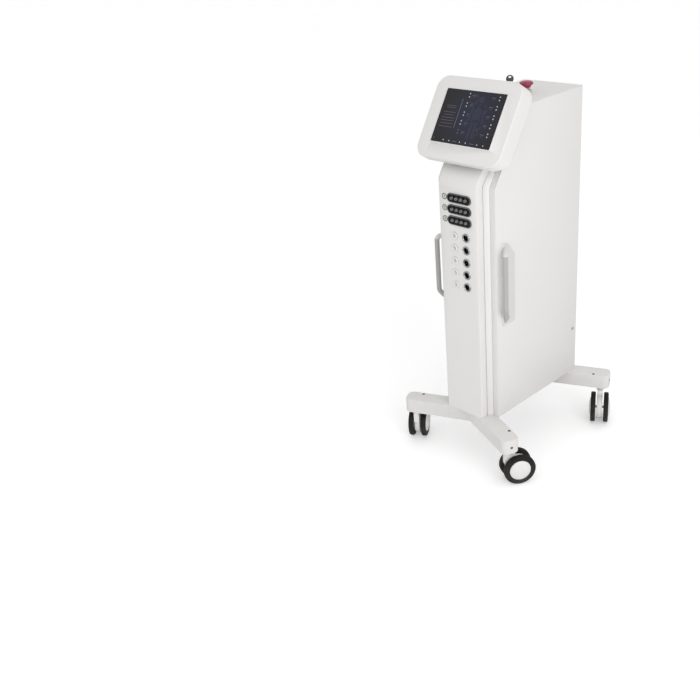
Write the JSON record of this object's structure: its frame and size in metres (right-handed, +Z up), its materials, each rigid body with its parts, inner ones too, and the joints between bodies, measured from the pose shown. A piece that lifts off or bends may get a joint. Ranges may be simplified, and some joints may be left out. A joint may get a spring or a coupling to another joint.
{
  "type": "compression therapy pump",
  "caption": "Floor-standing therapy pump: tilted touch screen on a slim white column with air, infrared and stimulation sockets, on a cross base with twin-wheel casters.",
  "frame": {"origin": "on the floor under the middle of the caster base", "axes": "+X to the right of a person who faces the screen, +Y from the front to the back, +Z up"},
  "size_m": [0.5078, 0.5584, 1.1704],
  "materials": {
    "powder_white": "satin powder coat",
    "moulded_white": "satin",
    "caster_white": "satin",
    "grey_plastic": "fine grain",
    "dark_grey_steel": "satin",
    "black_plastic": "fine grain",
    "black_rubber": "matt",
    "tyre_black": "matt",
    "bright_metal": "polished",
    "steel": "brushed",
    "cast_alloy": "cast",
    "screen_glass": "polished",
    "stop_red": "gloss",
    "board_green": "solder mask",
    "badge_grey": "printed"
  },
  "bodies": {
    "machine": {"front_leg_beam": "powder_white", "rear_leg_beam": "powder_white", "base_rails": "dark_grey_steel", "leg_bolts": "dark_grey_steel", "floor_tray": "powder_white", "side_panel_left": "powder_white", "side_panel_right": "powder_white", "top_panel": "powder_white", "rear_panel": "powder_white", "upper_front_panel": "powder_white", "front_fascia": "moulded_white", "fascia_trims": "moulded_white", "panel_screws": "dark_grey_steel", "head_bracket": "dark_grey_steel", "head_shell": "moulded_white", "screen_bezel": "moulded_white", "display_glass": "screen_glass", "display_module": "steel", "circuit_boards": "board_green", "air_socket_plates": "black_plastic", "air_nozzles": "grey_plastic", "number_badges": "badge_grey", "infrared_rings": "bright_metal", "infrared_cores": "black_plastic", "stimulation_sockets": "moulded_white", "handle_left": "grey_plastic", "handle_right": "grey_plastic", "key_switch": "bright_metal", "estop_base": "grey_plastic", "power_inlet": "black_plastic", "power_switch_frame": "black_plastic", "fan_frame": "black_plastic", "air_pump": "cast_alloy", "pump_feet": "black_rubber", "valve_manifold": "cast_alloy", "solenoid_valves": "black_plastic", "air_hoses": "black_rubber", "power_supply": "steel", "inner_shelves": "powder_white"},
    "caster_front_left": {"caster_fork_front_left": "caster_white", "caster_axle_front_left": "steel"},
    "wheel_front_left_a": {"wheel_front_left_a": "tyre_black"},
    "wheel_front_left_b": {"wheel_front_left_b": "tyre_black"},
    "caster_front_right": {"caster_fork_front_right": "caster_white", "caster_axle_front_right": "steel"},
    "wheel_front_right_a": {"wheel_front_right_a": "tyre_black"},
    "wheel_front_right_b": {"wheel_front_right_b": "tyre_black"},
    "caster_rear_left": {"caster_fork_rear_left": "caster_white", "caster_axle_rear_left": "steel"},
    "wheel_rear_left_a": {"wheel_rear_left_a": "tyre_black"},
    "wheel_rear_left_b": {"wheel_rear_left_b": "tyre_black"},
    "caster_rear_right": {"caster_fork_rear_right": "caster_white", "caster_axle_rear_right": "steel"},
    "wheel_rear_right_a": {"wheel_rear_right_a": "tyre_black"},
    "wheel_rear_right_b": {"wheel_rear_right_b": "tyre_black"},
    "stop_plunger": {"estop_plunger": "grey_plastic"},
    "stop_button": {"estop_head": "stop_red"},
    "key": {"key": "black_plastic"},
    "mains_rocker": {"power_rocker": "stop_red"},
    "fan_rotor": {"fan_rotor": "black_plastic"}
  },
  "joints": [
    {"name": "caster_front_left_swivel", "type": "hinge", "parent": "machine", "child": "caster_front_left", "pos_m": [-0.18778, -0.24771, 0.13], "axis": [0, 0, 1], "continuous": true},
    {"name": "wheel_front_left_a_spin", "type": "hinge", "parent": "caster_front_left", "child": "wheel_front_left_a", "pos_m": [-0.20474, -0.22057, 0.05], "axis": [-0.848, -0.5299, 0], "continuous": true},
    {"name": "wheel_front_left_b_spin", "type": "hinge", "parent": "caster_front_left", "child": "wheel_front_left_b", "pos_m": [-0.20474, -0.22057, 0.05], "axis": [-0.848, -0.5299, 0], "continuous": true},
    {"name": "caster_front_right_swivel", "type": "hinge", "parent": "machine", "child": "caster_front_right", "pos_m": [0.18778, -0.24771, 0.13], "axis": [0, 0, 1], "continuous": true},
    {"name": "wheel_front_right_a_spin", "type": "hinge", "parent": "caster_front_right", "child": "wheel_front_right_a", "pos_m": [0.20474, -0.22057, 0.05], "axis": [-0.848, 0.5299, 0], "continuous": true},
    {"name": "wheel_front_right_b_spin", "type": "hinge", "parent": "caster_front_right", "child": "wheel_front_right_b", "pos_m": [0.20474, -0.22057, 0.05], "axis": [-0.848, 0.5299, 0], "continuous": true},
    {"name": "caster_rear_left_swivel", "type": "hinge", "parent": "machine", "child": "caster_rear_left", "pos_m": [-0.18778, 0.24771, 0.13], "axis": [0, 0, 1], "continuous": true},
    {"name": "wheel_rear_left_a_spin", "type": "hinge", "parent": "caster_rear_left", "child": "wheel_rear_left_a", "pos_m": [-0.20474, 0.22057, 0.05], "axis": [0.848, -0.5299, 0], "continuous": true},
    {"name": "wheel_rear_left_b_spin", "type": "hinge", "parent": "caster_rear_left", "child": "wheel_rear_left_b", "pos_m": [-0.20474, 0.22057, 0.05], "axis": [0.848, -0.5299, 0], "continuous": true},
    {"name": "caster_rear_right_swivel", "type": "hinge", "parent": "machine", "child": "caster_rear_right", "pos_m": [0.18778, 0.24771, 0.13], "axis": [0, 0, 1], "continuous": true},
    {"name": "wheel_rear_right_a_spin", "type": "hinge", "parent": "caster_rear_right", "child": "wheel_rear_right_a", "pos_m": [0.20474, 0.22057, 0.05], "axis": [0.848, 0.5299, 0], "continuous": true},
    {"name": "wheel_rear_right_b_spin", "type": "hinge", "parent": "caster_rear_right", "child": "wheel_rear_right_b", "pos_m": [0.20474, 0.22057, 0.05], "axis": [0.848, 0.5299, 0], "continuous": true},
    {"name": "stop_press", "type": "slide", "parent": "machine", "child": "stop_plunger", "axis": [0, 0, -1], "range_m": [0, 0.0045], "stiffness_N_per_m": 900},
    {"name": "stop_twist", "type": "hinge", "parent": "stop_plunger", "child": "stop_button", "pos_m": [0.016, 0.071, 1.122], "axis": [0, 0, -1], "range_deg": [0, 40], "stiffness_Nm_per_rad": 0.05},
    {"name": "key_turn", "type": "hinge", "parent": "machine", "child": "key", "pos_m": [-0.042, 0.071, 1.097], "axis": [0, 0, -1], "range_deg": [0, 90]},
    {"name": "mains_rocker_tilt", "type": "hinge", "parent": "machine", "child": "mains_rocker", "pos_m": [0.022, 0.215, 0.232], "axis": [1, 0, 0], "range_deg": [0, 18]},
    {"name": "fan_spin", "type": "hinge", "parent": "machine", "child": "fan_rotor", "pos_m": [0, 0.206, 0.985], "axis": [0, 1, 0], "continuous": true}
  ]
}
